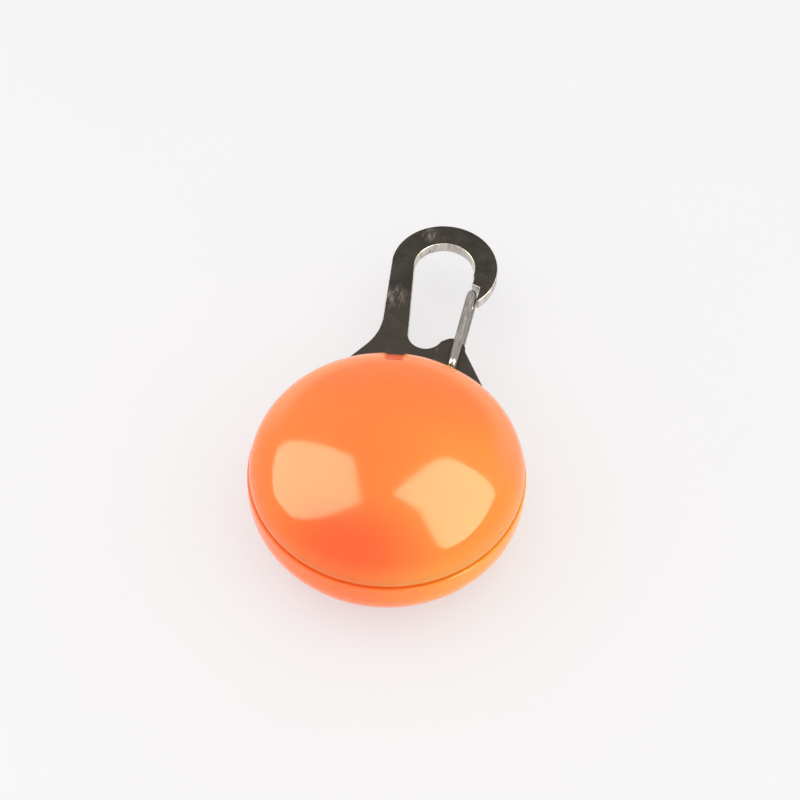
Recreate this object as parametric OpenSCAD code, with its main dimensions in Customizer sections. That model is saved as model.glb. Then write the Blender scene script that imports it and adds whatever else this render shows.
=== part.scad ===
// Clip-on LED safety light: a pressed lens over a round rear shell,
// with a steel clip plate held between them. Millimetres, +Z up, the
// clip pointing to +Y, and the origin at the centre of the flat rear face.

/* [Body] */
// Outer diameter of the rear shell
body_d = 32; // [32:0.25:34]
// Diameter of the lens over the rear shell
lens_d = 31.6; // [31.4:0.1:31.8]
// Height of the rear shell, flat face to rim
rear_h = 7.7; // [7.7:0.05:8.2]
// Height of the lens dome above its own rim
lens_h = 7.75; // [7.5:0.05:9]
// Gap between the rim and the lens when it isn't pressed
seam_gap = 0.45; // [0.45:0.01:0.6]
// Radius of the curve from the flat face to the side wall
rear_round = 6; // [5.8:0.1:6.2]
// Wall thickness of the lens
lens_wall = 1.6; // [1.4:0.1:1.8]
// Wall thickness of the rear shell
rear_wall = 1.2; // [1.1:0.05:1.2]

/* [Clip] */
// Thickness of the steel plate
plate_t = 1.5; // [1.3:0.1:1.5]
// Distance from the body's centre to the centre of the hook
hook_y = 30.9; // [30:0.1:34]
// Outer radius of the hook
hook_r = 6.4; // [6.2:0.05:6.6]
// Width of the hook's bar
hook_w = 2.8; // [2.6:0.05:3]
// Angle of the base's side below the gate from the clip's centre line
flare_a = 34.4; // [33:0.1:36]
// Angle of the base's side below the arm from the clip's centre line
flare_arm_a = 32.4; // [31:0.1:34]
// Diameter of the gate wire
wire_d = 1.1; // [0.9:0.05:1.1]

/* [Inside] */
// Diameter of a coin cell
cell_d = 20; // [20:0.01:20]
// Thickness of a coin cell
cell_h = 1.6; // [1.2:0.1:1.6]
// Thickness of the circuit board
board_t = 0.8; // [0.6:0.1:0.8]
// Number of LEDs beside the switch
led_count = 2; // [2:1:2]

/* [Hidden] */

$fn = 96;
eps = 0.02;
orange = [0.98, 0.45, 0.16];
steel = [0.78, 0.78, 0.77];

R = body_d / 2;
lens_r = lens_d / 2;
plate_z = rear_h - plate_t;          // underside of the clip plate
lens_z = rear_h + seam_gap;          // rim of the lens
rim_round = 5;                       // radius of the lens dome's shoulder
// radius of the lens dome's crown, tangent to the shoulder
crown_r = (pow(lens_h, 2) + pow(lens_r - rim_round, 2) - pow(rim_round, 2))
    / (2 * (lens_h - rim_round));

ring_r = 15.05;                      // plate's ring inside the body
ring_in = 11.6;
ledge_in = 13.6;                     // rear shell's bore under the plate
lip_h = 0.55;                        // rim's splash lip, inside the lens's groove
lip_out = 15.42;
pry_a = 99.5;                          // scoop in the lens's rim
hook_angles = [30, 150, 270];        // lens hooks under the plate
plate_screw_angles = [90, 210, 330];
board_screw_angles = [0, 180];
plate_screw_r = 13.3;
board_screw_r = 12.5;

// heights of the stack in the rear shell
pad_z = 1.35;
contact_t = 0.15;
cell_z = pad_z + contact_t + 0.05;
board_z = cell_z + 2 * cell_h + contact_t;
board_top = board_z + board_t;
post_z = board_top + 4.35;           // underside of the lens's post

// gate
pivot = [3.95, 16.5];                // hole in the plate for the wire
wire_r = wire_d / 2;
leg_gap = 0.05;
leg_z = wire_r + leg_gap;            // leg's axis above the plate's face
bend_r = plate_t / 2 + leg_z;        // bend of the closed end
gate_len = hook_y - 3 - pivot[1];    // from the hole to the closed end

function polar(r, a) = [r * cos(a), r * sin(a)];
module at_polar(r, a) { translate([r * cos(a), r * sin(a), 0]) rotate([0, 0, a]) children(); }

// ---------------------------------------------------------------- lens
// Half section of the dome, moved inwards by d
module dome_section(d) {
    c1 = [0, lens_h - crown_r];
    c2 = [lens_r - rim_round, 0];
    u = (c2 - c1) / norm(c2 - c1);
    intersection() {
        translate(c1) circle(r = crown_r - d, $fn = 240);
        polygon([[0, 0], c2, c2 + u * (rim_round + 2), [0, lens_h + 3]]);
    }
    intersection() {
        translate(c2) circle(r = rim_round - d, $fn = 120);
        translate(c2) square([rim_round + 1, rim_round + 1]);
    }
    intersection() {
        translate(c2) circle(r = rim_round - d, $fn = 120);
        polygon([c2, c2 + u * (rim_round + 2), c2 + [0, rim_round + 2], c2 + [rim_round + 1, 0.001]]);
    }
}

module front_lens() {
    color(orange) difference() {
        union() {
            // dome
            translate([0, 0, lens_z]) rotate_extrude($fn = 180) difference() {
                dome_section(0);
                dome_section(lens_wall);
            }
            intersection() {
                union() {
                    // skirt through the plate's ring
                    translate([0, 0, plate_z + 0.1]) difference() {
                        cylinder(r = 11.3, h = 7);
                        translate([0, 0, -1]) cylinder(r = 10.1, h = 9);
                        // groove for the seal
                        translate([0, 0, 0.2]) difference() {
                            cylinder(r = 12, h = 0.9);
                            translate([0, 0, -1]) cylinder(r = 10.7, h = 3);
                        }
                    }
                    // hooks that catch under the plate
                    for (a = hook_angles) rotate([0, 0, a - 12])
                        rotate_extrude(angle = 24) polygon([
                            [10.1, plate_z - 0.75], [11.6, plate_z - 0.75],
                            [12.3, plate_z - 0.35], [12.3, plate_z - 0.05],
                            [11.3, plate_z - 0.05], [11.3, plate_z + 0.15],
                            [10.1, plate_z + 0.15]]);
                    // rib inside the rim
                    translate([0, 0, lens_z + 0.1]) difference() {
                        cylinder(r = 13.5, h = 5);
                        translate([0, 0, -1]) cylinder(r = 12.9, h = 7);
                    }
                    // post that presses the switch
                    translate([0, 0, post_z]) cylinder(r = 1.6, h = 8);
                    translate([0, 0, lens_z + lens_h - lens_wall - 1.2])
                        cylinder(r1 = 1.6, r2 = 2.6, h = 1.4);
                }
                // nothing stands through the dome
                union() {
                    translate([0, 0, lens_z]) rotate_extrude($fn = 180)
                        dome_section(lens_wall / 2);
                    translate([0, 0, 1]) cylinder(r = 12.6, h = lens_z - 1 + eps);
                }
            }
        }
        // groove over the rear shell's lip
        translate([0, 0, lens_z - 1]) difference() {
            cylinder(r = lip_out + 0.13, h = lip_h + 1.1);
            translate([0, 0, -1]) cylinder(r = ring_r, h = lip_h + 4);
        }
        // scoop for prying the lens off, beside the clip
        rotate([0, 0, pry_a]) translate([lens_r - 1.25, -1.1, lens_z - 1])
            cube([3, 2.2, 4.6]);
    }
}

module seal_ring() {
    color([0.15, 0.15, 0.15]) translate([0, 0, plate_z + 0.75])
        rotate_extrude() translate([11.12, 0]) circle(r = 0.42, $fn = 32);
}

// ---------------------------------------------------------- rear shell
// Half section of the shell's outside, moved inwards by d
module shell_section(d, top) {
    intersection() {
        union() {
            translate([0, d]) square([R - rear_round, top + 1]);
            translate([R - rear_round, rear_round]) circle(r = rear_round - d, $fn = 120);
            translate([0, rear_round]) square([R - d, top]);
        }
        // broken outer edge
        polygon([[0, 0], [R + 1, 0], [R + 1, top - 1.18], [R - 0.18, top], [0, top]]);
    }
}

module plate_exit() {
    // outline of the opening in the rim where the plate comes out
    t = ring_r + 0.05;
    p = polar(t, flare_a);
    q = p + 16 * [-sin(flare_a), cos(flare_a)];
    u = polar(t, 180 - flare_arm_a);
    v = u + 16 * [sin(flare_arm_a), cos(flare_arm_a)];
    polygon([p, q, v, u]);
}

module rear_shell() {
    color(orange) difference() {
        union() {
            difference() {
                union() {
                    rotate_extrude($fn = 180) shell_section(0, rear_h);
                    translate([0, 0, rear_h - 1]) cylinder(r = lip_out, h = lip_h + 1);
                }
                // cavity
                rotate_extrude() intersection() {
                    shell_section(rear_wall, rear_h + 2);
                    square([ledge_in, rear_h + 2]);
                }
            }
            // pad under the battery contact
            translate([0, 0, rear_wall - 0.1]) cylinder(r = 9.5, h = pad_z - rear_wall + 0.1);
            // posts for the screws
            intersection() {
                union() {
                    for (a = plate_screw_angles) at_polar(plate_screw_r, a)
                        cylinder(r = 1.3, h = plate_z + 0.5, $fn = 48);
                    for (a = board_screw_angles) at_polar(board_screw_r, a)
                        cylinder(r = 1.2, h = board_z, $fn = 48);
                }
                rotate_extrude() shell_section(rear_wall / 2, rear_h);
            }
        }
        // seat of the clip plate
        translate([0, 0, plate_z]) cylinder(r = ring_r + 0.1, h = plate_t + 1);
        // way out for the clip plate
        translate([0, 0, plate_z]) linear_extrude(plate_t + 1) plate_exit();
        // pilot holes
        for (a = plate_screw_angles) at_polar(plate_screw_r, a)
            translate([0, 0, plate_z - 3.2]) cylinder(r = 0.62, h = 4, $fn = 32);
        for (a = board_screw_angles) at_polar(board_screw_r, a)
            translate([0, 0, board_z - 2.4]) cylinder(r = 0.47, h = 3, $fn = 32);
    }
}

// ---------------------------------------------------------- clip plate
hook_c = [-0.15, hook_y];
bar_in = hook_r - hook_w;            // inner radius of the hook
arm_out = [-5.3, 19.14];             // foot of the arm's outer edge
u_c = [-0.13, 20.55];                 // round bottom of the loop
u_r = 2.02;
hump_c = [3.4, 19.25];               // rounded shoulder beside the gate
hump_r = 1.6;
nose_y = hook_y - 3.95;              // tip of the hook
nose_x = 4.6;                        // wall of the notch for the gate

// Edges of the base and the arm, and the corner where they meet
base_r = ring_r - 0.05;
base_dir = [-sin(flare_a), cos(flare_a)];
base_at = base_r * [cos(flare_a), sin(flare_a)];
left_at = base_r * [-cos(flare_arm_a), sin(flare_arm_a)];
left_dir = [sin(flare_arm_a), cos(flare_arm_a)];
arm_top = hook_c + [-hook_r, 0];
arm_dir = (arm_out - arm_top) / norm(arm_out - arm_top);
corner_k = ((arm_top[0] - left_at[0]) * left_dir[1] - (arm_top[1] - left_at[1]) * left_dir[0])
    / (arm_dir[1] * left_dir[0] - arm_dir[0] * left_dir[1]);
corner = arm_top + corner_k * arm_dir;
// concave blend between them
blend_r = 7;
blend_half = acos(arm_dir * left_dir) / 2;
blend_len = blend_r / tan(blend_half);
blend_arm = corner - blend_len * arm_dir;
blend_base = corner - blend_len * left_dir;
blend_c = blend_arm + blend_r * [arm_dir[1], -arm_dir[0]];

// Base: the ring inside the body, the web and the foot of the arm
module plate_base() {
    difference() {
        union() {
            circle(r = ring_r, $fn = 180);
            polygon([base_at, base_at + 13.5 * base_dir, hump_c, hump_c + [-1.27, 1.05],
                u_c + [1.78, -0.71], u_c + [0, -0.4], u_c + [-u_r - 0.06, -0.1],
                u_c + [-u_r - 0.3, 0.9], blend_arm + 0.1 * arm_dir + [0.3, 0], blend_arm, blend_base, left_at]);
            translate(hump_c) circle(r = hump_r);
        }
        translate(u_c) circle(r = u_r);
        translate(blend_c) circle(r = blend_r, $fn = 240);
        circle(r = ring_in, $fn = 180);
    }
}
module plate_arm() {
    polygon([arm_top, arm_top + [0.06, 0.5], arm_top + [hook_w - 0.06, 0.5], arm_top + [hook_w, 0],
        u_c + [-u_r - 0.01, 0], u_c + [-u_r - 0.03, -0.5], u_c + [-u_r - 0.5, -0.5],
        blend_arm + 0.3 * arm_dir + [0.5, 0], blend_arm]);
}
// Hook with its notched nose
module plate_hook() {
    difference() {
        translate(hook_c) circle(r = hook_r, $fn = 180);
        translate(hook_c) circle(r = bar_in, $fn = 120);
        polygon([[-hook_r - 1, hook_y], [-hook_r - 1, hook_y - 8],
            [nose_x, hook_y - 8], [nose_x, hook_y - 1.95],
            [3.6, hook_y - 1.7], [3.6, hook_y - 0.8],
            hook_c + [bar_in - 0.1, 0]]);
        translate([0, nose_y - 4]) square([10, 4]);
    }
}

module clip_plate() {
    color([0.2, 0.17, 0.15]) difference() {
        translate([0, 0, plate_z]) union() {
            linear_extrude(plate_t) plate_base();
            linear_extrude(plate_t) plate_arm();
            linear_extrude(plate_t) plate_hook();
        }
        translate([pivot[0], pivot[1], plate_z - 1]) cylinder(r = wire_r + 0.05, h = plate_t + 2, $fn = 32);
        for (a = plate_screw_angles) translate(polar(plate_screw_r, a)) {
            translate([0, 0, plate_z - 1]) cylinder(r = 0.72, h = plate_t + 2, $fn = 32);
            translate([0, 0, rear_h - 0.6]) cylinder(r1 = 0.72, r2 = 1.34, h = 0.62, $fn = 32);
        }
    }
}

// ----------------------------------------------------------- gate wire
module wire_leg() {
    // one leg on the +Z face of a plate whose middle is z = 0
    z = plate_t / 2 + leg_z;
    turn = 0.6;
    // end in the plate's hole
    translate([0, 0, 0.12]) cylinder(r = wire_r, h = z - turn - 0.12, $fn = 32);
    translate([0, turn, z - turn]) rotate([90, 0, -90]) rotate([0, 0, 0])
        rotate_extrude(angle = 90, $fn = 48) translate([turn, 0]) circle(r = wire_r, $fn = 32);
    translate([0, turn, z]) rotate([-90, 0, 0])
        cylinder(r = wire_r, h = gate_len - bend_r - turn, $fn = 32);
}

module gate_wire() {
    color(steel) translate([pivot[0], pivot[1], plate_z + plate_t / 2]) {
        wire_leg();
        mirror([0, 0, 1]) wire_leg();
        // closed end
        translate([0, gate_len - bend_r, 0]) rotate([0, 90, 0]) rotate([0, 0, 0])
            rotate_extrude(angle = 180, $fn = 64) translate([bend_r, 0]) circle(r = wire_r, $fn = 32);
    }
}

// ------------------------------------------------------- circuit board
module circuit_board() {
    color([0.05, 0.35, 0.2]) translate([0, 0, board_z]) difference() {
        cylinder(r = 13.4, h = board_t);
        // room for the lens hooks
        for (a = hook_angles) rotate([0, 0, a - 16]) translate([0, 0, -1])
            rotate_extrude(angle = 32) translate([9.95, 0]) square([5, board_t + 2]);
        for (a = plate_screw_angles) at_polar(plate_screw_r, a)
            translate([0, 0, -1]) cylinder(r = 1.5, h = board_t + 2, $fn = 48);
        for (a = board_screw_angles) at_polar(board_screw_r, a)
            translate([0, 0, -1]) cylinder(r = 0.6, h = board_t + 2, $fn = 32);
        for (a = [60, 300]) at_polar(10.5, a)
            translate([0, 0, -1]) cylinder(r = 0.45, h = board_t + 2, $fn = 32);
        translate([0, -6.5, -1]) cylinder(r = 0.65, h = board_t + 2, $fn = 32);
    }
}

led_x = 6.4;
module led_places() {
    for (i = [0 : led_count - 1]) rotate([0, 0, 180 * i]) translate([led_x, 0, board_top]) children();
}
module led_packages() {
    color([0.93, 0.92, 0.88]) led_places() difference() {
        translate([-1.75, -1.4, 0]) cube([3.5, 2.8, 1.6]);
        translate([0, 0, 0.5]) cylinder(r = 1.1, h = 2, $fn = 48);
    }
}
module led_domes() {
    color([1, 0.9, 0.5]) led_places() {
        translate([0, 0, 0.5]) cylinder(r = 1.08, h = 1.1, $fn = 48);
        intersection() {
            translate([0, 0, 1.2]) sphere(r = 1.15, $fn = 48);
            translate([0, 0, 1.59]) cylinder(r = 1.3, h = 2, $fn = 48);
        }
    }
}

module switch_body() {
    color([0.1, 0.1, 0.1]) translate([0, 0, board_top]) difference() {
        translate([-3, -3, 0]) cube([6, 6, 3.2]);
        translate([0, 0, 1.2]) cylinder(r = 2.3, h = 3, $fn = 64);
    }
}
module switch_cover() {
    color(steel) translate([0, 0, board_top + 3.2]) difference() {
        union() {
            translate([-3, -3, 0]) cube([6, 6, 0.2]);
            for (s = [-1, 1]) translate([s * 3.1 - 0.1, -1.6, -1.4]) cube([0.2, 3.2, 1.6]);
        }
        translate([0, 0, -1]) cylinder(r = 1.68, h = 3, $fn = 48);
    }
}
module switch_leads() {
    color(steel) for (sx = [-1, 1], sy = [-1, 1]) translate([sx * 2.2, sy * 3, board_top]) {
        translate([-0.35, sy > 0 ? 0 : -0.2, 0]) cube([0.7, 0.2, 1.1]);
        translate([-0.35, sy > 0 ? 0 : -1.1, 0]) cube([0.7, 1.1, 0.2]);
    }
}
module switch_dome() {
    // snap disc under the plunger
    color(steel) translate([0, 0, board_top + 1.2]) intersection() {
        difference() {
            translate([0, 0, -4.2]) sphere(r = 4.8, $fn = 120);
            translate([0, 0, -4.2]) sphere(r = 4.65, $fn = 120);
        }
        cylinder(r = 2.2, h = 1, $fn = 64);
    }
}
module switch_plunger() {
    color([0.85, 0.83, 0.8]) translate([0, 0, board_top]) {
        translate([0, 0, 2.25]) cylinder(r = 0.8, h = 0.35, $fn = 48);
        translate([0, 0, 2.55]) cylinder(r = 2.1, h = 0.5, $fn = 64);
        translate([0, 0, 3.0]) cylinder(r = 1.6, h = 1.3, $fn = 48);
    }
}

module controller_chip() {
    color([0.08, 0.08, 0.08]) translate([0, 6.6, board_top]) {
        translate([-2.4, -1.5, 0.2]) cube([4.8, 3, 1.2]);
        for (i = [0 : 3], s = [-1, 1]) translate([-1.9 + 1.27 * i - 0.2, s > 0 ? 1.45 : -2.3, 0])
            cube([0.4, 0.85, 0.25]);
        for (i = [0 : 3], s = [-1, 1]) translate([-1.9 + 1.27 * i - 0.2, s > 0 ? 1.45 : -1.6, 0])
            cube([0.4, 0.15, 0.7]);
    }
}
module chip_resistors() {
    color([0.15, 0.15, 0.17]) for (p = [[4.9, 4.8], [4.9, -4.8], [-4.9, -4.8]])
        translate([p[0], p[1], board_top]) {
            translate([-0.8, -0.4, 0]) cube([1.6, 0.8, 0.45]);
            for (s = [-1, 1]) translate([s * 0.65 - 0.2, -0.42, 0]) cube([0.4, 0.84, 0.5]);
        }
}
module chip_capacitor() {
    color([0.72, 0.6, 0.42]) translate([-5, 4.9, board_top]) {
        translate([-1, -0.6, 0]) cube([2, 1.2, 0.8]);
        for (s = [-1, 1]) translate([s * 0.8 - 0.22, -0.63, 0]) cube([0.44, 1.26, 0.85]);
    }
}

// ------------------------------------------------------------- battery
module cell_holder() {
    color([0.9, 0.9, 0.88]) {
        z = pad_z + contact_t;
        difference() {
            translate([0, 0, z]) cylinder(r = 10.9, h = board_z - z);
            translate([0, 0, z - 1]) cylinder(r = cell_d / 2 + 0.1, h = 8);
            // finger opening
            rotate([0, 0, 150]) translate([8, -3, z + 0.8]) cube([5, 6, 6]);
        }
        for (a = [60, 300]) at_polar(10.5, a)
            translate([0, 0, board_z - 0.2]) cylinder(r = 0.39, h = board_t + 0.3, $fn = 32);
    }
}
// positive face up
module cell_can() {
    difference() {
        cylinder(r = cell_d / 2, h = cell_h);
        translate([0, 0, -1]) cylinder(r = 9.3, h = cell_h + 0.75);
    }
}
module cell_cap() { cylinder(r = 8.8, h = cell_h - 0.3); }
module cell_gasket() {
    difference() {
        translate([0, 0, 0.05]) cylinder(r = 9.28, h = cell_h - 0.35);
        translate([0, 0, -1]) cylinder(r = 8.82, h = cell_h + 1);
    }
}
module lower_cell_can() { color(steel) translate([0, 0, cell_z]) cell_can(); }
module lower_cell_cap() { color(steel) translate([0, 0, cell_z]) cell_cap(); }
module lower_cell_gasket() { color([0.1, 0.1, 0.1]) translate([0, 0, cell_z]) cell_gasket(); }
module upper_cell_can() { color(steel) translate([0, 0, cell_z + cell_h]) cell_can(); }
module upper_cell_cap() { color(steel) translate([0, 0, cell_z + cell_h]) cell_cap(); }
module upper_cell_gasket() { color([0.1, 0.1, 0.1]) translate([0, 0, cell_z + cell_h]) cell_gasket(); }

module positive_contact() {
    color([0.85, 0.75, 0.4]) {
        translate([-1.5, -8, board_z - contact_t]) cube([3, 13, contact_t]);
        translate([0, -6.5, board_z - eps]) cylinder(r = 0.6, h = board_t + 0.1, $fn = 32);
        translate([0, -6.5, board_top]) cylinder(r = 1.1, h = 0.2, $fn = 32);
    }
}
module negative_contact() {
    color([0.85, 0.75, 0.4]) {
        translate([0, 0, pad_z]) cylinder(r = 5, h = contact_t);
        for (a = [0, 120, 240]) rotate([0, 0, a]) {
            translate([0, -1.4, pad_z]) cube([11.1, 2.8, contact_t]);
            translate([7, 0, pad_z]) cylinder(r = 0.7, h = contact_t + 0.05, $fn = 32);
        }
        // tab up to the board
        rotate([0, 0, 240]) translate([10.95, -1.4, pad_z]) cube([0.15, 2.8, board_z - pad_z]);
    }
}

// -------------------------------------------------------------- screws
module plate_screws() {
    color(steel) for (a = plate_screw_angles) at_polar(plate_screw_r, a) difference() {
        union() {
            translate([0, 0, rear_h - 0.57]) cylinder(r1 = 0.68, r2 = 1.25, h = 0.55, $fn = 48);
            translate([0, 0, plate_z - 2.9]) cylinder(r = 0.6, h = 3.9, $fn = 32);
        }
        for (r = [0, 90]) rotate([0, 0, r]) translate([-0.7, -0.12, rear_h - 0.3]) cube([1.4, 0.24, 1]);
    }
}
module board_screws() {
    color(steel) for (a = board_screw_angles) at_polar(board_screw_r, a) difference() {
        union() {
            translate([0, 0, board_top]) cylinder(r = 0.95, h = 0.4, $fn = 48);
            translate([0, 0, board_z - 2.2]) cylinder(r = 0.45, h = board_t + 2.3, $fn = 32);
        }
        for (r = [0, 90]) rotate([0, 0, r]) translate([-0.6, -0.1, board_top + 0.2]) cube([1.2, 0.2, 1]);
    }
}

front_lens();
rear_shell();
clip_plate();
gate_wire();
seal_ring();
circuit_board();
led_packages();
led_domes();
switch_body();
switch_cover();
switch_leads();
switch_dome();
switch_plunger();
controller_chip();
chip_resistors();
chip_capacitor();
cell_holder();
upper_cell_can();
upper_cell_cap();
upper_cell_gasket();
lower_cell_can();
lower_cell_cap();
lower_cell_gasket();
positive_contact();
negative_contact();
plate_screws();
board_screws();
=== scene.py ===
"""Looks of the clip-on LED safety light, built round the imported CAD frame. Metres, in the CAD's own frame."""

import math

import bmesh
import bpy
import numpy as np
from mathutils import Matrix, Vector


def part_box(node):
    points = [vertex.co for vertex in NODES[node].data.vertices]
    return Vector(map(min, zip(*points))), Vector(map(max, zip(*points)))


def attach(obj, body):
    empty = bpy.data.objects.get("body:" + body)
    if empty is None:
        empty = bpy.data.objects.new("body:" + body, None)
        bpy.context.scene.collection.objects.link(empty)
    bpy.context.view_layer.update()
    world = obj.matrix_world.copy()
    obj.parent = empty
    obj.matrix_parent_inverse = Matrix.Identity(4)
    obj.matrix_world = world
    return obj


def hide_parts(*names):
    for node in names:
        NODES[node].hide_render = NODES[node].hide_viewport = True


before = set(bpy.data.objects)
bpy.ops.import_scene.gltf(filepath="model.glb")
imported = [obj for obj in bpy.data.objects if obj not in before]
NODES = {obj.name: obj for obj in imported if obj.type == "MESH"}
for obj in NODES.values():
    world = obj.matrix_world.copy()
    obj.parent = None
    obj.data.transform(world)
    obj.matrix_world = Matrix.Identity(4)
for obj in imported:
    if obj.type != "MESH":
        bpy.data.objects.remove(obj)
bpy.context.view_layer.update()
MM = 0.001

# --------------------------------------------------------------- heights, in mm, from the CAD nodes
top_of = lambda n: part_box(n)[1] / MM
low_of = lambda n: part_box(n)[0] / MM
LENS_R = top_of("front_lens").x
LENS_TOP = top_of("front_lens").z
REAR_TOP = top_of("rear_shell").z
REAR_R = top_of("rear_shell").x
PLATE_LOW, PLATE_TOP = low_of("clip_plate").z, top_of("clip_plate").z
BOARD_TOP = top_of("circuit_board").z
LENS_Z = LENS_TOP - 7.75            # lens rim
POST_Z = BOARD_TOP + 4.35           # underside of the lens's post


# ------------------------------------------------------------------------------------ mesh helpers
def new_object(name, verts, faces, smooth_deg=38.0):
    """A mesh object from points in mm, smooth except over edges sharper than smooth_deg."""
    me = bpy.data.meshes.new(name)
    me.from_pydata([tuple(np.asarray(v, float) * MM) for v in verts], [], [tuple(int(i) for i in f) for f in faces])
    me.validate()
    ob = bpy.data.objects.new(name, me)
    bpy.context.scene.collection.objects.link(ob)
    finish_mesh(ob, smooth_deg)
    return ob


def finish_mesh(ob, smooth_deg):
    bm = bmesh.new()
    bm.from_mesh(ob.data)
    bmesh.ops.recalc_face_normals(bm, faces=bm.faces)
    limit = math.radians(smooth_deg)
    for f in bm.faces:
        f.smooth = True
    for e in bm.edges:
        e.smooth = not (len(e.link_faces) == 2 and e.calc_face_angle(0.0) > limit)
    bm.to_mesh(ob.data)
    bm.free()
    ob.data.update()


def lathe(profile, segments):
    """Points and faces of a closed profile of (r, z) turned about Z. A profile point at r 0 becomes one vertex."""
    verts, rings = [], []
    for r, z in profile:
        if r < 1e-6:
            rings.append([len(verts)] * segments)
            verts.append((0.0, 0.0, z))
        else:
            start = len(verts)
            for i in range(segments):
                a = 2 * math.pi * i / segments
                verts.append((r * math.cos(a), r * math.sin(a), z))
            rings.append([start + i for i in range(segments)])
    faces = []
    for k in range(len(rings) - 1):
        a, b = rings[k], rings[k + 1]
        for i in range(segments):
            j = (i + 1) % segments
            quad = []
            for v in (a[i], a[j], b[j], b[i]):
                if v not in quad:
                    quad.append(v)
            if len(quad) >= 3:
                faces.append(quad)
    return verts, faces


def arc_block(section, a0, a1, steps):
    """A closed (r, z) section swept from angle a0 to a1, in degrees, with end faces."""
    verts, faces, n = [], [], len(section)
    for i in range(steps + 1):
        a = math.radians(a0 + (a1 - a0) * i / steps)
        verts += [(r * math.cos(a), r * math.sin(a), z) for r, z in section]
    for i in range(steps):
        for k in range(n):
            m = (k + 1) % n
            faces.append([i * n + k, i * n + m, (i + 1) * n + m, (i + 1) * n + k])
    faces.append(list(range(n)))
    faces.append([steps * n + k for k in reversed(range(n))])
    return verts, faces


def together(*parts):
    verts, faces = [], []
    for v, f in parts:
        k = len(verts)
        verts += list(v)
        faces += [[i + k for i in q] for q in f]
    return verts, faces


def fillet(cx, cz, r, a0, a1, n=5):
    return [(cx + r * math.cos(math.radians(a0 + (a1 - a0) * i / n)), cz + r * math.sin(math.radians(a0 + (a1 - a0) * i / n))) for i in range(n + 1)]


# ------------------------------------------------------------------------- the lens, one moulded dome
def dome_curve(end_r, drop, k1, width, n=600):
    """The dome's outside from apex to rim as (r, z below the apex): the curvature grows smoothly from k1 at
    the crown to k2 at the shoulder, and k2 and its place are solved for so that the rim ends upright."""

    def run(s0, k2):
        ds = 0.05
        r = z = th = s = 0.0
        out = [(0.0, 0.0, 0.0)]
        while th < math.pi / 2 and s < 60:
            t = min(1.0, max(0.0, (s - s0) / width))
            k = k1 + (k2 - k1) * t * t * (3 - 2 * t)
            step = min(ds, (math.pi / 2 - th) / k + 1e-12)
            mid = th + k * step / 2
            r += math.cos(mid) * step
            z += math.sin(mid) * step
            th += k * step
            s += step
            out.append((r, z, th))
            if step < ds:
                break
        return out

    x = np.array([9.5, 0.21])
    for _ in range(40):
        f = np.array(run(*x)[-1][:2]) - (end_r, drop)
        if abs(f).max() < 1e-7:
            break
        j = np.empty((2, 2))
        for i, h in enumerate((1e-4, 1e-6)):
            y = x.copy()
            y[i] += h
            j[:, i] = (np.array(run(*y)[-1][:2]) - (end_r, drop) - f) / h
        x = x - np.linalg.solve(j, f)
    return run(*x)


curve = np.array(dome_curve(LENS_R, 7.75, 1 / 27.58, 5.0))
OUT_R, OUT_Z, OUT_T = curve[:, 0], LENS_TOP - curve[:, 1], curve[:, 2]


def dome_normal(p):
    """Outward normal of the dome at a point, in mm."""
    r = math.hypot(p[0], p[1])
    th = float(np.interp(r, OUT_R, OUT_T))
    c, s = (p[0] / r, p[1] / r) if r > 1e-9 else (1.0, 0.0)
    return Vector((math.sin(th) * c, math.sin(th) * s, math.cos(th)))


WALL = 1.6
IN_R, IN_Z = OUT_R - WALL * np.sin(OUT_T), OUT_Z - WALL * np.cos(OUT_T)


def inner_z(r):
    return float(np.interp(r, IN_R, IN_Z))


def lens_profile():
    keep = OUT_Z > LENS_Z + 0.3
    rr, zz = OUT_R[keep], OUT_Z[keep]
    # even spacing along the curve, finer over the shoulder
    length = np.concatenate([[0], np.cumsum(np.hypot(np.diff(rr), np.diff(zz)))])
    u = np.linspace(0, 1, 84) ** 0.9 * length[-1]
    prof = [(float(np.interp(x, length, rr)), float(np.interp(x, length, zz))) for x in u]
    prof[0] = (0.0, LENS_TOP)
    prof += fillet(LENS_R - 0.17, LENS_Z + 0.17, 0.17, 20, -90)
    # groove over the rear shell's splash lip
    prof += [(15.61, LENS_Z), (15.55, LENS_Z + 0.06), (15.55, LENS_Z + 0.65), (15.05, LENS_Z + 0.65), (15.05, LENS_Z + 0.06), (14.99, LENS_Z)]
    prof += fillet(LENS_R - WALL + 0.16, LENS_Z + 0.16, 0.16, 270, 180)
    inner = [(r, z) for r, z in zip(IN_R, IN_Z)]

    def dome_from(r_hi, r_lo):
        pts = [p for p in inner if r_lo < p[0] < r_hi][::-6]
        return [(r_hi, inner_z(r_hi))] + [p for p in pts if r_lo + 0.05 < p[0] < r_hi - 0.05] + [(r_lo, inner_z(r_lo))]

    prof += [(LENS_R - WALL - 0.001, LENS_Z + 0.6)]
    prof += dome_from(LENS_R - WALL - 0.05, 13.5)
    prof += [(13.5, LENS_Z + 0.25)] + [(13.4, LENS_Z + 0.12), (13.0, LENS_Z + 0.12)] + [(12.9, LENS_Z + 0.25)]
    prof += dome_from(12.9, 11.3)
    low = PLATE_LOW + 0.1
    prof += [(11.3, low + 1.1), (10.7, low + 1.1), (10.7, low + 0.2), (11.3, low + 0.2), (11.3, low + 0.08), (11.22, low), (10.18, low), (10.1, low + 0.08)]
    prof += dome_from(10.1, 2.6)
    prof += [(2.2, inner_z(2.2) - 0.55), (1.7, inner_z(1.7) - 1.15), (1.6, inner_z(1.6) - 1.5), (1.6, POST_Z + 0.15), (1.45, POST_Z), (0.0, POST_Z)]
    return prof


def smooth01(x, a, b):
    t = min(1.0, max(0.0, (x - a) / (b - a)))
    return t * t * (3 - 2 * t)


PRY_DEG = 99.5


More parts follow.
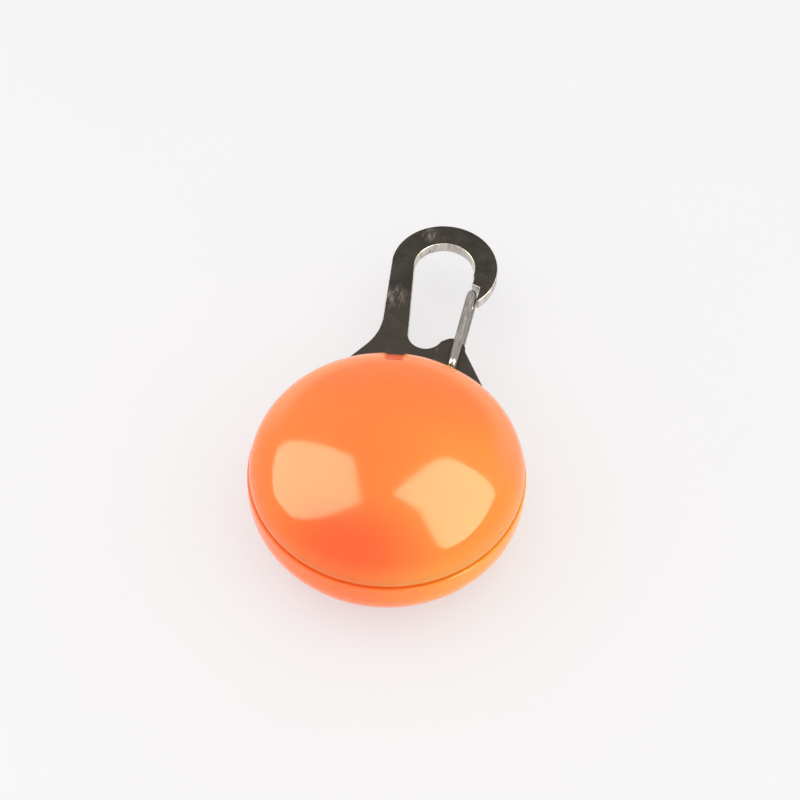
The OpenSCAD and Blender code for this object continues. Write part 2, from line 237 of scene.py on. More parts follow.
def build_lens():
    verts, faces = lathe(lens_profile(), 360)
    hooks = [(10.12, PLATE_LOW - 0.75), (11.6, PLATE_LOW - 0.75), (12.3, PLATE_LOW - 0.35), (12.3, PLATE_LOW - 0.05), (11.28, PLATE_LOW - 0.05), (11.28, PLATE_LOW + 0.15), (10.12, PLATE_LOW + 0.15)]
    moved, scoop = [], []
    for x, y, z in verts:
        r = math.hypot(x, y)
        # scoop for prying the lens off: deep at the rim, then a shallow trough up the shoulder
        cut = 0.0
        if r > 11.9 and z > LENS_Z - 0.1:
            a = math.radians(PRY_DEG)
            side = abs(-math.sin(a) * x + math.cos(a) * y)
            ahead = math.cos(a) * x + math.sin(a) * y
            outside = r > float(np.interp(z, OUT_Z[::-1], OUT_R[::-1])) - 0.35
            if ahead > 0 and side < 1.4 and outside:
                across = 1 - smooth01(side, 0.92, 1.18)
                upright = max(0.0, r - 14.55) * (1 - smooth01(z, 9.6, 11.2))
                shallow = 0.24 * (1 - smooth01(z, 12.55, 13.05))
                depth = max(upright, shallow) * across
                # mask of the painted shade in the scoop, kept as the mesh's scoop attribute
                cut = across * (1 - smooth01(z, 12.6, 13.05))
                k = (r - depth) / r
                x, y = x * k, y * k
        scoop.append(cut)
        moved.append((x, y, z))
    parts = [(moved, faces)] + [arc_block(hooks, a - 12, a + 12, 16) for a in (30, 150, 270)]
    ob = new_object("lens_dome", *together(*parts), smooth_deg=35)
    shade = ob.data.attributes.new("scoop", "FLOAT", "POINT")
    shade.data.foreach_set("value", scoop + [0.0] * (len(ob.data.vertices) - len(scoop)))
    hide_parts("front_lens")
    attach(ob, "lens")
    return ob


# -------------------------------------------------------------- the clip plate, blanked steel with broken edges
def top_loops(node):
    """Outlines of a node's top face, each a list of (x, y) in mm, taken from its mesh."""
    me = NODES[node].data
    zt = top_of(node).z
    key = lambda v: (round(me.vertices[v].co.x / MM, 4), round(me.vertices[v].co.y / MM, 4))
    count = {}
    for p in me.polygons:
        vs = list(p.vertices)
        if all(abs(me.vertices[v].co.z / MM - zt) < 1e-3 for v in vs):
            ks = [key(v) for v in vs]
            for i in range(len(ks)):
                e = (ks[i], ks[(i + 1) % len(ks)])
                if e[0] != e[1]:
                    count[e] = count.get(e, 0) + 1
    edges = {}
    for (a, b), n in count.items():
        if n > count.get((b, a), 0):             # by net count, so that a folded sliver doesn't break the outline
            edges.setdefault(a, []).append(b)
    loops = []
    while edges:
        start = next(iter(edges))
        loop, at = [start], edges[start].pop()
        if not edges[start]:
            del edges[start]
        while at != start and at in edges:
            loop.append(at)
            nxt = edges[at].pop()
            if not edges[at]:
                del edges[at]
            at = nxt
        if len(loop) > 2:
            loops.append(loop)
    return loops


def tidy_loop(loop, tol=0.012, longest=0.9):
    """Drops points closer than tol and splits long straight runs, so that the bevel stays even."""
    pts = [np.array(loop[0])]
    for p in loop[1:]:
        if np.hypot(*(np.array(p) - pts[-1])) > tol:
            pts.append(np.array(p))
    if np.hypot(*(pts[0] - pts[-1])) <= tol:
        pts.pop()
    out = []
    for i, p in enumerate(pts):
        q = pts[(i + 1) % len(pts)]
        n = max(1, int(np.hypot(*(q - p)) / longest))
        out += [p + (q - p) * k / n for k in range(n)]
    return out


def build_plate():
    edge = 0.13
    cu = bpy.data.curves.new("clip_outline", "CURVE")
    cu.dimensions = "2D"
    cu.fill_mode = "BOTH"
    for loop in top_loops("clip_plate"):
        pts = tidy_loop(loop)
        sp = cu.splines.new("POLY")
        sp.points.add(len(pts) - 1)
        for k, p in enumerate(pts):
            sp.points[k].co = (p[0], p[1], 0, 1)
        sp.use_cyclic_u = True
    thick = PLATE_TOP - PLATE_LOW
    cu.extrude = thick / 2 - edge
    cu.bevel_depth = edge
    cu.bevel_resolution = 3
    cu.offset = -edge
    tmp = bpy.data.objects.new("clip_outline", cu)
    bpy.context.scene.collection.objects.link(tmp)
    bpy.context.view_layer.update()
    me = bpy.data.meshes.new_from_object(tmp.evaluated_get(bpy.context.evaluated_depsgraph_get()))
    bpy.data.objects.remove(tmp)
    bm = bmesh.new()
    bm.from_mesh(me)
    bmesh.ops.remove_doubles(bm, verts=bm.verts, dist=1e-4)
    for v in bm.verts:
        v.co = Vector((v.co.x, v.co.y, v.co.z + (PLATE_TOP + PLATE_LOW) / 2)) * MM
    bm.to_mesh(me)
    bm.free()
    me.name = "clip_frame"
    me.materials.clear()
    ob = bpy.data.objects.new("clip_frame", me)
    bpy.context.scene.collection.objects.link(ob)
    finish_mesh(ob, 30)
    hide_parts("clip_plate")
    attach(ob, "case")
    return ob


# --------------------------------------------------------------------------- the gate, one bent spring wire
def build_gate():
    lo, hi = low_of("gate_wire"), top_of("gate_wire")
    x0 = (lo.x + hi.x) / 2
    rad = (hi.x - lo.x) / 2
    mid = (lo.z + hi.z) / 2
    leg = hi.z - rad - mid                   # leg's axis above the plate's middle
    y0, y1 = lo.y + rad, hi.y - rad          # pivot, and the far side of the closed end
    turn = 0.6
    path = [(y0, 0.14)] + [(y0, z) for z in np.linspace(0.3, leg - turn, 4)[0:]]
    path += [(y0 + turn - turn * math.cos(a), leg - turn + turn * math.sin(a)) for a in np.linspace(0, math.pi / 2, 13)[1:]]
    end_c = y1 - leg
    path += [(y, leg) for y in np.linspace(y0 + turn, end_c, 24)[1:]]
    path += [(end_c + leg * math.cos(a), leg * math.sin(a)) for a in np.linspace(math.pi / 2, -math.pi / 2, 33)[1:]]
    upper = [p for p in path if True]
    lower_leg = [(y, -leg) for y in np.linspace(end_c, y0 + turn, 24)[1:]]
    lower_leg += [(y0 + turn - turn * math.cos(a), -(leg - turn + turn * math.sin(a))) for a in np.linspace(math.pi / 2, 0, 13)[1:]]
    lower_leg += [(y0, -z) for z in np.linspace(leg - turn, 0.3, 4)[1:]] + [(y0, -0.14)]
    path = np.array(upper + lower_leg)
    keep = [0]
    for i in range(1, len(path)):
        if np.hypot(*(path[i] - path[keep[-1]])) > 0.02:
            keep.append(i)
    path = path[keep]
    sides, n = 40, len(path)
    verts, faces = [], []
    for i, (y, z) in enumerate(path):
        a, b = path[max(0, i - 1)], path[min(n - 1, i + 1)]
        t = (b - a) / np.hypot(*(b - a))
        nrm = np.array([-t[1], t[0]])
        # the cut ends are slightly rounded
        for shrink, along in (((0.82, -0.0),) if i in (0, n - 1) else ((1.0, 0.0),)):
            for k in range(sides):
                c, s = math.cos(2 * math.pi * k / sides), math.sin(2 * math.pi * k / sides)
                verts.append((x0 + rad * shrink * c, y + rad * shrink * s * nrm[0], mid + z + rad * shrink * s * nrm[1]))
    for i in range(n - 1):
        for k in range(sides):
            m = (k + 1) % sides
            faces.append([i * sides + k, i * sides + m, (i + 1) * sides + m, (i + 1) * sides + k])
    faces.append(list(range(sides)))
    faces.append([(n - 1) * sides + k for k in reversed(range(sides))])
    ob = new_object("gate_spring", verts, faces, smooth_deg=50)
    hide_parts("gate_wire")
    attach(ob, "gate")
    return ob


# --------------------------------------------------------------------------------------------- materials
class Mat:
    """A few short calls for a node material. Coordinates are the object's own, in mm."""

    def __init__(self, name):
        self.m = bpy.data.materials.new(name)
        self.m.use_nodes = True
        self.t = self.m.node_tree
        self.t.nodes.clear()
        self.out = self.t.nodes.new("ShaderNodeOutputMaterial")
        self.b = self.t.nodes.new("ShaderNodeBsdfPrincipled")
        self.link(self.b.outputs[0], self.out.inputs["Surface"])
        co = self.t.nodes.new("ShaderNodeTexCoord")
        self.normal_out = co.outputs["Normal"]
        sc = self.t.nodes.new("ShaderNodeVectorMath")
        sc.operation = "SCALE"
        self.link(co.outputs["Object"], sc.inputs[0])
        sc.inputs["Scale"].default_value = 1000.0
        self.mm = sc.outputs[0]

    def link(self, a, b):
        self.t.links.new(a, b)

    def put(self, value, socket):
        if isinstance(value, bpy.types.NodeSocket):
            self.link(value, socket)
        elif isinstance(value, (tuple, list)) and socket.type == "RGBA":
            socket.default_value = (*value[:3], 1.0)
        else:
            socket.default_value = value

    def set(self, **kw):
        for k, v in kw.items():
            self.put(v, self.b.inputs[k.replace("_", " ")])
        return self

    def math(self, op, a, b=0.0, clamp=False):
        n = self.t.nodes.new("ShaderNodeMath")
        n.operation = op
        n.use_clamp = clamp
        self.put(a, n.inputs[0])
        self.put(b, n.inputs[1])
        return n.outputs[0]

    def split(self, vec=None):
        n = self.t.nodes.new("ShaderNodeSeparateXYZ")
        self.link(vec or self.mm, n.inputs[0])
        return n.outputs

    def scaled(self, v):
        n = self.t.nodes.new("ShaderNodeVectorMath")
        n.operation = "MULTIPLY"
        self.link(self.mm, n.inputs[0])
        n.inputs[1].default_value = v
        return n.outputs[0]

    def moved(self, v):
        n = self.t.nodes.new("ShaderNodeVectorMath")
        n.operation = "SUBTRACT"
        self.link(self.mm, n.inputs[0])
        n.inputs[1].default_value = v
        return n.outputs[0]

    def scaled_about(self, centre, v):
        n = self.t.nodes.new("ShaderNodeVectorMath")
        n.operation = "MULTIPLY"
        self.link(self.moved(centre), n.inputs[0])
        n.inputs[1].default_value = v
        return n.outputs[0]

    def length(self, vec):
        n = self.t.nodes.new("ShaderNodeVectorMath")
        n.operation = "LENGTH"
        self.link(vec, n.inputs[0])
        return n.outputs["Value"]

    def noise(self, scale, detail=3.0, rough=0.5, vec=None, distort=0.0):
        n = self.t.nodes.new("ShaderNodeTexNoise")
        self.link(vec or self.mm, n.inputs["Vector"])
        n.inputs["Scale"].default_value = scale
        n.inputs["Detail"].default_value = detail
        n.inputs["Roughness"].default_value = rough
        n.inputs["Distortion"].default_value = distort
        return n.outputs["Fac"]

    def voronoi(self, scale, vec=None, feature="F1", out="Distance"):
        n = self.t.nodes.new("ShaderNodeTexVoronoi")
        n.feature = feature
        self.link(vec or self.mm, n.inputs["Vector"])
        n.inputs["Scale"].default_value = scale
        return n.outputs[out]

    def span(self, value, a, b, lo=0.0, hi=1.0, smooth=True):
        n = self.t.nodes.new("ShaderNodeMapRange")
        n.interpolation_type = "SMOOTHSTEP" if smooth else "LINEAR"
        self.put(value, n.inputs["Value"])
        for k, v in (("From Min", a), ("From Max", b), ("To Min", lo), ("To Max", hi)):
            self.put(v, n.inputs[k])
        return n.outputs["Result"]

    def mix(self, fac, a, b):
        n = self.t.nodes.new("ShaderNodeMix")
        n.data_type = "RGBA"
        self.put(fac, n.inputs[0])
        self.put(a, n.inputs[6])
        self.put(b, n.inputs[7])
        return n.outputs[2]

    def bump(self, height, strength, distance_mm, normal=None):
        n = self.t.nodes.new("ShaderNodeBump")
        n.inputs["Strength"].default_value = strength
        n.inputs["Distance"].default_value = distance_mm * MM
        self.link(height, n.inputs["Height"])
        if normal is not None:
            self.link(normal, n.inputs["Normal"])
        self.link(n.outputs[0], self.b.inputs["Normal"])
        return n.outputs[0]


# lens and shell colours: the plastic's own orange, with painted light and shade
LENS_TONES_AND_PAINTED_LIGHT = [(0.93, 0.205, 0.020), (0.93, 0.285, 0.026), (0.93, 0.104, 0.014), (0.93, 0.156, 0.008), (0.87, 0.270, 0.070)]
SHELL_TONES_AND_PAINTED_LIGHT = [(0.94, 0.190, 0.040), (0.92, 0.35, 0.024)]
RED_SHADE_POOL = (-1.4, -13.5, 11.7)


def orange_plastic(name, lens):
    m = Mat(name)
    x, y, z = m.split()
    cloud = m.noise(0.085, 2.0, 0.5)
    if lens:
        # painted light and shade in the lens colour: yellower and lighter to the right, a redder, darker pool low and
        # left of the middle
        east = m.math("ADD", m.math("MULTIPLY", x, 0.05), m.math("MULTIPLY", m.math("SUBTRACT", cloud, 0.5), 0.35))
        col = m.mix(m.span(east, -0.25, 0.75), LENS_TONES_AND_PAINTED_LIGHT[0], LENS_TONES_AND_PAINTED_LIGHT[1])
        pool = m.length(m.scaled_about(RED_SHADE_POOL, (0.62, 1.0, 1.0)))
        col = m.mix(m.span(pool, 7.5, 0.8, 0.0, 0.95), col, LENS_TONES_AND_PAINTED_LIGHT[2])
        # painted shade: redder towards the far side, +y
        north = m.span(y, 0.0, 9.0, 0.0, 0.7)
        col = m.mix(north, col, LENS_TONES_AND_PAINTED_LIGHT[3])
    else:
        # painted light: the shell is yellower and lighter to the right, as on the lens
        east = m.math("ADD", m.math("MULTIPLY", x, 0.05), m.math("MULTIPLY", m.math("SUBTRACT", cloud, 0.5), 0.3))
        col = m.mix(m.span(east, 0.0, 0.75), SHELL_TONES_AND_PAINTED_LIGHT[0], SHELL_TONES_AND_PAINTED_LIGHT[1])
    # fine flow marks, hardly seen
    flow = m.noise(1.1, 5.0, 0.6, vec=m.scaled((1.0, 0.35, 1.0)))
    col = m.mix(m.span(flow, 0.35, 0.75, 0.0, 0.12), col, (0.78, 0.20, 0.035))
    if lens:
        # painted light: the rim band low on the lens is painted lighter, and yellower to the right, for the extra
        # light the solid rim passes compared with the thin crown
        low = m.mix(m.span(x, -1.0, 10.0), (0.95, 0.190, 0.042), (0.95, 0.335, 0.058))
        col = m.mix(m.span(z, 11.4, 9.4, 0.0, 0.65), col, low)
        # painted light: the shoulder next to the clip is painted paler
        radius = m.length(m.scaled_about((0.0, 0.0, 0.0), (1.0, 1.0, 0.0)))
        pale = m.math("MULTIPLY", m.span(radius, 11.4, 13.6), m.span(y, -3.0, 4.0))
        col = m.mix(pale, col, LENS_TONES_AND_PAINTED_LIGHT[4])
        # painted shade in the pry scoop: darker and redder, for the dark plate seen through the thinner plastic
        at = m.t.nodes.new("ShaderNodeAttribute")
        at.attribute_name = "scoop"
        col = m.mix(m.math("MULTIPLY", at.outputs["Fac"], 0.92), col, (0.76, 0.12, 0.034))
    else:
        # painted shade: darker and redder towards the bottom, next to the floor
        col = m.mix(m.span(z, 3.0, 0.2, 0.0, 0.30), col, (0.66, 0.14, 0.02))
    m.set(Base_Color=col)
    # gloss with faint handling haze and orange peel
    haze = m.noise(0.32, 4.0, 0.62)
    m.set(Roughness=m.span(haze, 0.3, 0.75, 0.105, 0.17))
    fine = m.noise(2.6, 3.0, 0.5)
    m.bump(fine, 0.05, 0.02)
    m.b.inputs["IOR"].default_value = 1.49
    m.b.inputs["Specular IOR Level"].default_value = 0.34
    m.b.inputs["Subsurface Weight"].default_value = 0.55
    m.b.inputs["Subsurface Radius"].default_value = (1.0, 0.34, 0.10)
    m.b.inputs["Subsurface Scale"].default_value = 0.0026
    m.b.inputs["Coat Weight"].default_value = 0.12
    m.b.inputs["Coat Roughness"].default_value = 0.05
    # painted light: a faint red glow, as emission, for the little red light that reaches the shaded side through the
    # moulding
    m.b.inputs["Emission Color"].default_value = (1.0, 0.05, 0.0, 1.0)
    m.b.inputs["Emission Strength"].default_value = 0.05 if lens else 0.09
    return m.m


def blackened_plate():
    m = Mat("blackened_steel")
    nz = m.split(m.normal_out)[2]
    face = m.span(m.math("ABSOLUTE", nz), 0.80, 0.97)        # 1 on the flat faces, 0 on the cut walls
    x, y, z = m.split()
    # oxide coat: warm black-brown, browner towards the body
    cloud = m.noise(0.45, 4.0, 0.6)
    oxide = m.mix(m.span(y, 33.0, 17.0), (0.016, 0.0115, 0.0075), (0.034, 0.025, 0.018))
    oxide = m.mix(m.span(cloud, 0.35, 0.7, 0.0, 0.5), oxide, (0.040, 0.030, 0.022))
    # rubbed streaks along the arm and specks
    streak = m.noise(1.5, 5.0, 0.72, vec=m.scaled((1.6, 0.42, 1.0)))
    patch = m.noise(0.22, 2.0, 0.5)
    rub = m.math("MULTIPLY", m.span(streak, 0.585, 0.70), m.span(patch, 0.48, 0.62))
    specks = m.math("MULTIPLY", m.span(m.voronoi(1.35), 0.13, 0.05), m.span(m.noise(0.6, 1.0), 0.52, 0.6))
    wear_and_sheen = m.math("MAXIMUM", rub, specks, clamp=True)
    # lighter spots: a painted reflection along the arm below the hook, and rubbed wear on the hook's upper left
    arm_sheen = m.span(m.length(m.moved((-5.1, 25.2, 7.7))), 2.3, 0.3)
    at_top = m.span(m.length(m.moved((-2.9, 35.4, 7.7))), 1.4, 0.2)
    wear_and_sheen_spots = m.math("MULTIPLY", m.math("MAXIMUM", arm_sheen, at_top), m.span(m.noise(1.2, 4.0, 0.7, vec=m.scaled((1.8, 0.6, 1.0))), 0.42, 0.62))
    wear_and_sheen = m.math("MAXIMUM", m.math("MULTIPLY", wear_and_sheen, 0.5), wear_and_sheen_spots, clamp=True)
    face_col = m.mix(m.math("MULTIPLY", wear_and_sheen, 0.55), oxide, (0.30, 0.25, 0.21))
    # cut walls: bare steel with shear lines and a few dark marks
    lines = m.noise(2.2, 4.0, 0.65, vec=m.scaled((1.0, 1.0, 0.25)))
    marks = m.span(m.noise(0.55, 3.0, 0.6), 0.60, 0.70)
    wall = m.mix(m.span(lines, 0.3, 0.7), (0.44, 0.41, 0.38), (0.66, 0.63, 0.60))
    wall = m.mix(m.math("MULTIPLY", marks, 0.75), wall, (0.14, 0.12, 0.10))
    m.set(Base_Color=m.mix(face, wall, face_col))
    m.set(Metallic=m.span(face, 0.0, 1.0, 0.95, 0.03, smooth=False))
    m.b.inputs["Specular IOR Level"].default_value = 0.21
    rough_face = m.span(cloud, 0.3, 0.75, 0.30, 0.46)
    rough_wall = m.span(lines, 0.3, 0.7, 0.26, 0.40)
    mixn = m.t.nodes.new("ShaderNodeMix")
    mixn.data_type = "FLOAT"
    m.put(face, mixn.inputs[0])
    m.put(rough_wall, mixn.inputs[2])
    m.put(rough_face, mixn.inputs[3])
    m.set(Roughness=mixn.outputs[0])
    grain = m.noise(4.5, 3.0, 0.6)
    m.bump(m.math("ADD", grain, m.math("MULTIPLY", lines, 0.4)), 0.16, 0.03)
    return m.m


def metal(name, base, other, rough=(0.16, 0.3), scale=1.0, stretch=(1, 1, 1), bump=0.08):
    m = Mat(name)
    n = m.noise(scale, 5.0, 0.62, vec=m.scaled(stretch))
    m.set(Base_Color=m.mix(m.span(n, 0.3, 0.72), base, other), Metallic=1.0, Roughness=m.span(n, 0.3, 0.75, *rough))
    m.bump(m.noise(scale * 4, 3.0, 0.6, vec=m.scaled(stretch)), bump, 0.02)
    return m.m


def cell_steel():
    """Coin cell: nickel-plated steel, brushed in circles on its flats."""
    m = Mat("cell_steel")
    x, y, z = m.split()
    r = m.math("SQRT", m.math("ADD", m.math("MULTIPLY", x, x), m.math("MULTIPLY", y, y)))
    ang = m.math("ARCTAN2", y, x)
    comb = m.t.nodes.new("ShaderNodeCombineXYZ")
    m.put(r, comb.inputs[0])
    m.put(m.math("MULTIPLY", ang, 0.25), comb.inputs[1])
    m.put(z, comb.inputs[2])
    brush = m.noise(7.0, 3.0, 0.6, vec=comb.outputs[0])
    stain = m.noise(0.35, 3.0, 0.55)
    col = m.mix(m.span(brush, 0.3, 0.7), (0.55, 0.54, 0.52), (0.74, 0.73, 0.71))
    col = m.mix(m.span(stain, 0.55, 0.75, 0.0, 0.35), col, (0.50, 0.45, 0.38))
    m.set(Base_Color=col, Metallic=1.0, Roughness=m.span(brush, 0.3, 0.7, 0.2, 0.34))
    m.bump(brush, 0.10, 0.02)
    return m.m


def plastic(name, base, other, rough=(0.35, 0.5), scale=1.2, bump=0.12, fine=6.0, sss=0.0):
    m = Mat(name)
    n = m.noise(scale, 4.0, 0.6)
    m.set(Base_Color=m.mix(m.span(n, 0.3, 0.72), base, other), Roughness=m.span(n, 0.3, 0.75, *rough))
    m.bump(m.noise(fine, 3.0, 0.6), bump, 0.02)
    if sss:
        m.b.inputs["Subsurface Weight"].default_value = sss
        m.b.inputs["Subsurface Scale"].default_value = 0.001
    return m.m


def rubber():
    m = Mat("black_rubber")
    n = m.noise(2.0, 4.0, 0.6)
    dust = m.span(m.noise(6.0, 3.0, 0.6), 0.6, 0.72, 0.0, 0.4)
    m.set(Base_Color=m.mix(dust, m.mix(n, (0.012, 0.012, 0.013), (0.026, 0.025, 0.024)), (0.11, 0.105, 0.1)), Roughness=m.span(n, 0.3, 0.7, 0.55, 0.75))
    m.bump(m.noise(9.0, 3.0, 0.6), 0.2, 0.02)
    return m.m


def board_green():
    """Solder mask with tracks under it, and woven glass on the cut edge."""
    m = Mat("green_board")
    x, y, z = m.split()
    cell = m.t.nodes.new("ShaderNodeTexBrick")
    m.link(m.scaled((1, 1, 0)), cell.inputs["Vector"])
    cell.inputs["Scale"].default_value = 0.55
    cell.inputs["Mortar Size"].default_value = 0.06
    cell.inputs["Mortar Smooth"].default_value = 0.25
    cell.offset, cell.squash = 0.37, 0.6
    track = cell.outputs["Fac"]
    weave = m.noise(3.0, 4.0, 0.6)
    mask = m.mix(m.span(weave, 0.3, 0.7), (0.004, 0.060, 0.022), (0.008, 0.085, 0.034))
    mask = m.mix(m.math("MULTIPLY", track, 0.8), mask, (0.02, 0.17, 0.07))
    nz = m.math("ABSOLUTE", m.split(m.normal_out)[2])
    edge = m.span(nz, 0.7, 0.3)
    layers = m.noise(5.0, 3.0, 0.6, vec=m.scaled((0.4, 0.4, 2.6)))
    fibre = m.mix(m.span(layers, 0.35, 0.65), (0.24, 0.23, 0.10), (0.42, 0.40, 0.22))
    m.set(Base_Color=m.mix(edge, mask, fibre), Roughness=m.span(weave, 0.3, 0.7, 0.22, 0.36))
    m.bump(m.math("ADD", m.math("MULTIPLY", track, 0.8), m.math("MULTIPLY", weave, 0.2)), 0.4, 0.03)
    return m.m


def amber_resin():
    m = Mat("amber_resin")
    swirl = m.noise(1.6, 3.0, 0.5, distort=0.6)
    m.set(Base_Color=m.mix(m.span(swirl, 0.3, 0.7), (0.86, 0.52, 0.06), (0.95, 0.72, 0.20)), Roughness=m.span(swirl, 0.3, 0.7, 0.06, 0.14))
    m.b.inputs["Transmission Weight"].default_value = 0.35
    m.b.inputs["IOR"].default_value = 1.52
    m.b.inputs["Coat Weight"].default_value = 0.3
    m.b.inputs["Coat Roughness"].default_value = 0.03
    m.bump(m.noise(3.0, 2.0), 0.04, 0.02)
    return m.m


def wire_steel():
    """Bright drawn wire: long draw lines, a little handling haze and a few dark pits."""
    m = Mat("bright_wire")
    draw = m.noise(5.0, 4.0, 0.6, vec=m.scaled((2.2, 0.12, 2.2)))
    haze = m.noise(0.8, 4.0, 0.6)
    pits = m.span(m.noise(1.5, 3.0, 0.6), 0.66, 0.74)
    col = m.mix(m.span(draw, 0.3, 0.7), (0.13, 0.115, 0.10), (0.38, 0.355, 0.33))
    col = m.mix(m.math("MULTIPLY", pits, 0.7), col, (0.16, 0.14, 0.12))
    m.set(Base_Color=col, Metallic=1.0, Roughness=m.span(haze, 0.3, 0.75, 0.12, 0.24))
    m.bump(draw, 0.10, 0.02)
    return m.m


lens = build_lens()
plate = build_plate()
gate = build_gate()

MATS = {
    "orange_lens": orange_plastic("orange_lens", True),
    "orange_shell": orange_plastic("orange_shell", False),
    "blackened_steel": blackened_plate(),
    "bright_wire": wire_steel(),
    "bright_steel": metal("bright_steel", (0.56, 0.55, 0.53), (0.78, 0.77, 0.75), scale=2.2, bump=0.12),
    "black_rubber": rubber(),
    "green_board": board_green(),
    "white_plastic": plastic("white_plastic", (0.74, 0.73, 0.69), (0.84, 0.83, 0.80), (0.34, 0.5), 0.9, 0.10, 5.0, 0.15),
    "amber_resin": amber_resin(),
    "black_plastic": plastic("black_plastic", (0.012, 0.012, 0.013), (0.030, 0.029, 0.028), (0.38, 0.55), 2.5, 0.25, 12.0),
    "chip_body": plastic("chip_body", (0.016, 0.016, 0.018), (0.036, 0.035, 0.036), (0.5, 0.66), 6.0, 0.35, 22.0),
    "tan_ceramic": plastic("tan_ceramic", (0.40, 0.27, 0.14), (0.52, 0.37, 0.21), (0.4, 0.55), 5.0, 0.2, 18.0),
    "cell_steel": cell_steel(),
    "plated_brass": metal("plated_brass", (0.72, 0.55, 0.22), (0.86, 0.70, 0.36), (0.2, 0.36), 1.6, (1, 3, 1), 0.12),
    "screw_steel": metal("screw_steel", (0.50, 0.50, 0.50), (0.70, 0.69, 0.67), (0.22, 0.38), 3.0, (1, 1, 2), 0.2),
}


def tipped(name, body, ends, axis, inner, outer):
    """A chip part whose two ends are tinned metal: body colour inside, bright solder beyond inner mm from its middle."""
    m = Mat(name)
    x, y, z = m.split()
    n = m.noise(7.0, 4.0, 0.6)
    v = m.math("ABSOLUTE", (x, y)[axis])
    centre = (inner + outer) / 2
    off = m.math("ABSOLUTE", m.math("SUBTRACT", v, centre))
    tip = m.span(off, (outer - inner) / 2 - 0.03, (outer - inner) / 2 + 0.03)
    col = m.mix(m.span(n, 0.3, 0.7), body[0], body[1])
    tin = m.mix(m.span(n, 0.3, 0.7), ends[0], ends[1])
    m.set(Base_Color=m.mix(tip, col, tin), Metallic=tip, Roughness=m.span(n, 0.3, 0.75, 0.28, 0.46))
    m.bump(n, 0.25, 0.02)
    return m.m


TIN = ((0.62, 0.62, 0.60), (0.78, 0.78, 0.76))
MATS["resistor"] = tipped("resistor", ((0.018, 0.018, 0.022), (0.035, 0.034, 0.038)), TIN, 0, 4.45, 5.35)
MATS["capacitor"] = tipped("capacitor", ((0.42, 0.29, 0.15), (0.55, 0.40, 0.23)), TIN, 0, 4.42, 5.58)
MATS["chip"] = tipped("chip", ((0.016, 0.016, 0.018), (0.034, 0.033, 0.035)), TIN, 1, 5.12, 8.08)

WEARS = {
    "rear_shell": "orange_shell",
    "seal_ring": "black_rubber",
    "circuit_board": "green_board",
    "led_packages": "white_plastic",
    "led_domes": "amber_resin",
    "switch_body": "black_plastic",
    "switch_cover": "bright_steel",
    "switch_leads": "bright_steel",
    "switch_dome": "bright_steel",
    "switch_plunger": "white_plastic",
    "controller_chip": "chip",
    "chip_resistors": "resistor",
    "chip_capacitor": "capacitor",
    "cell_holder": "white_plastic",
    "upper_cell_can": "cell_steel",
    "upper_cell_cap": "cell_steel",
    "upper_cell_gasket": "black_plastic",
    "lower_cell_can": "cell_steel",
    "lower_cell_cap": "cell_steel",
    "lower_cell_gasket": "black_plastic",
    "positive_contact": "plated_brass",
    "negative_contact": "plated_brass",
    "plate_screws": "screw_steel",
    "board_screws": "screw_steel",
    "front_lens": "orange_lens",
    "clip_plate": "blackened_steel",
    "gate_wire": "bright_wire",
}
for node, ob in NODES.items():
    ob.data.materials.clear()
    ob.data.materials.append(MATS[WEARS[node]])
    for p in ob.data.polygons:
        p.material_index = 0
for ob, mat in ((lens, "orange_lens"), (plate, "blackened_steel"), (gate, "bright_wire")):
    ob.data.materials.clear()
    ob.data.materials.append(MATS[mat])


# ------------------------------------------------------------------------------------------------ camera
SC, DIST, TX, TY, Z0 = 8.73, 400.0, -1.51, -8.38, 7.8
ELEV, ROLL, AZIM = (math.radians(v) for v in (54.0, -1.9, 11.5))
right0 = Vector((1, 0, 0))
up0 = Vector((0, math.sin(ELEV), math.cos(ELEV)))
back0 = Vector((0, -math.cos(ELEV), math.sin(ELEV)))
turn = Matrix.Rotation(AZIM, 3, "Z")
cam_right = turn @ (right0 * math.cos(ROLL) - up0 * math.sin(ROLL))
cam_up = turn @ (right0 * math.sin(ROLL) + up0 * math.cos(ROLL))
cam_back = turn @ back0
cam_at = cam_right * -TX + cam_up * -TY + cam_back * DIST + Vector((0, 0, Z0))

cam = bpy.data.cameras.new("camera")
cam.sensor_width = 36.0
cam.lens = SC * DIST * 36.0 / 800.0
cam.clip_start, cam.clip_end = 0.01, 20.0
cam_ob = bpy.data.objects.new("camera", cam)
bpy.context.scene.collection.objects.link(cam_ob)
cam_ob.matrix_world = Matrix.Translation(cam_at * MM) @ Matrix((cam_right, cam_up, cam_back)).transposed().to_4x4()
bpy.context.scene.camera = cam_ob


def look(px, py):
    """Direction from the camera through a point of the 800 x 800 picture."""
    d = cam_right * (px - 400.0) + cam_up * (400.0 - py) - cam_back * (SC * DIST)
    return d.normalized()


def hit_dome(px, py):
    """Where that line meets the lens, in mm, by marching onto the turned profile."""
    d = look(px, py)
    t = (LENS_TOP + 0.5 - cam_at.z) / d.z
    for _ in range(4000):
        p = cam_at + d * t
        r = math.hypot(p.x, p.y)
        if r < LENS_R and p.z <= float(np.interp(r, OUT_R, OUT_Z)):
            return p
        t += 0.01
    return None


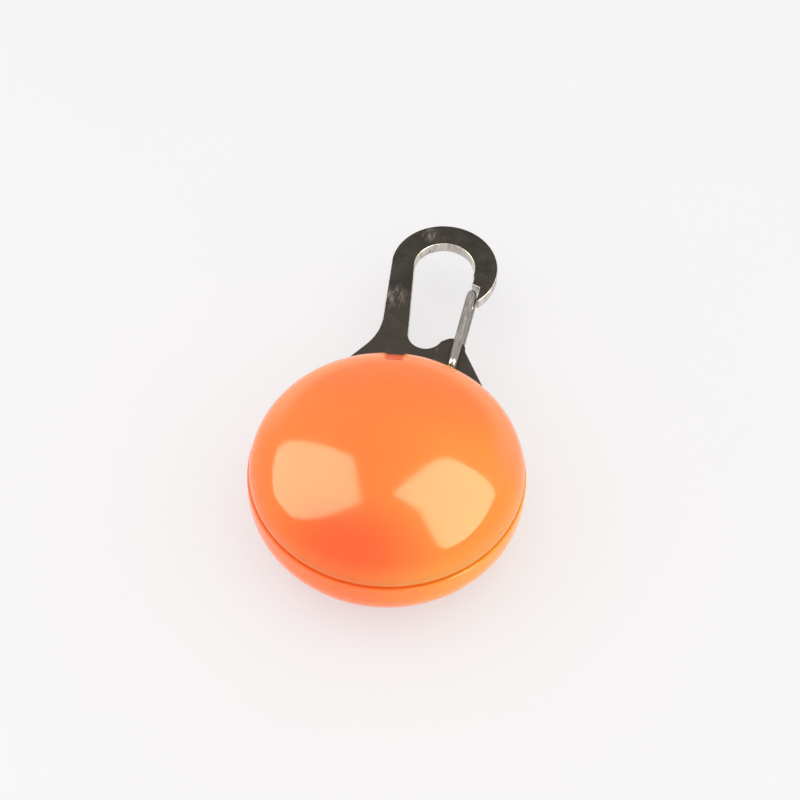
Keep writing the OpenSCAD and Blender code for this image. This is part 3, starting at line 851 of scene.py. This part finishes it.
# ------------------------------------------------------------------------- studio: two softboxes overhead
def softbox(name, corners, distance, radiance, colour):
    """A flat glowing panel whose reflection in the lens has these corners in the picture."""
    rays = []
    for px, py in corners:
        p = hit_dome(px, py)
        n = dome_normal(p)
        d = look(px, py)
        rays.append((p, (d - 2 * d.dot(n) * n).normalized()))
    aim = sum((r for _, r in rays), Vector()).normalized()
    start = sum((p for p, _ in rays), Vector()) / len(rays)
    centre = start + aim * distance
    verts = []
    for p, r in rays:
        k = (centre - p).dot(aim) / r.dot(aim)
        verts.append(p + r * k)
    me = bpy.data.meshes.new(name)
    me.from_pydata([tuple(v * MM) for v in verts], [], [list(range(len(verts)))])
    ob = bpy.data.objects.new(name, me)
    bpy.context.scene.collection.objects.link(ob)
    mat = bpy.data.materials.new(name)
    mat.use_nodes = True
    t = mat.node_tree
    t.nodes.clear()
    out = t.nodes.new("ShaderNodeOutputMaterial")
    em = t.nodes.new("ShaderNodeEmission")
    em.inputs[0].default_value = (*colour, 1)
    em.inputs[1].default_value = radiance
    t.links.new(em.outputs[0], out.inputs[0])
    me.materials.append(mat)
    ob.visible_camera = False
    ob.visible_diffuse = False          # the soft light all round does the lighting, this one only shines
    return ob


softbox("softbox_left", [(279, 447), (290, 441), (308, 442), (349, 455), (355, 464), (361, 503), (347, 509), (301, 519), (290, 516), (275, 497)], 800, 8.9, (1.0, 0.99, 0.72))
softbox("softbox_right", [(393, 494), (437, 459), (453, 459), (483, 476), (495, 495), (468, 537), (447, 549), (437, 545), (420, 511), (406, 502)], 800, 10.0, (1.0, 0.99, 0.70))



world = bpy.data.worlds.new("studio")
bpy.context.scene.world = world
world.use_nodes = True
wt = world.node_tree
wt.nodes.clear()
wo = wt.nodes.new("ShaderNodeOutputWorld")
wb = wt.nodes.new("ShaderNodeBackground")
wb.inputs[0].default_value = (0.985, 0.98, 1.0, 1)
wb.inputs[1].default_value = 1.18
wt.links.new(wb.outputs[0], wo.inputs[0])

# floor
fm = Mat("pale_floor")
fm.set(Base_Color=fm.mix(fm.noise(0.02, 2.0, 0.5), (0.265, 0.262, 0.265), (0.285, 0.282, 0.286)), Roughness=0.55)
fm.b.inputs["Emission Color"].default_value = (0.985, 0.97, 0.98, 1)
fm.b.inputs["Emission Strength"].default_value = 0.57
fm.b.inputs["Specular IOR Level"].default_value = 0.25
floor_me = bpy.data.meshes.new("floor")
S = 4.0
floor_me.from_pydata([(-S, -S, 0), (S, -S, 0), (S, S, 0), (-S, S, 0)], [], [(0, 1, 2, 3)])
floor = bpy.data.objects.new("floor", floor_me)
floor.location.z = -0.00003
floor_me.materials.append(fm.m)
bpy.context.scene.collection.objects.link(floor)

bpy.context.scene.view_settings.view_transform = "Standard"
bpy.context.scene.view_settings.look = "None"

bpy.context.view_layer.update()
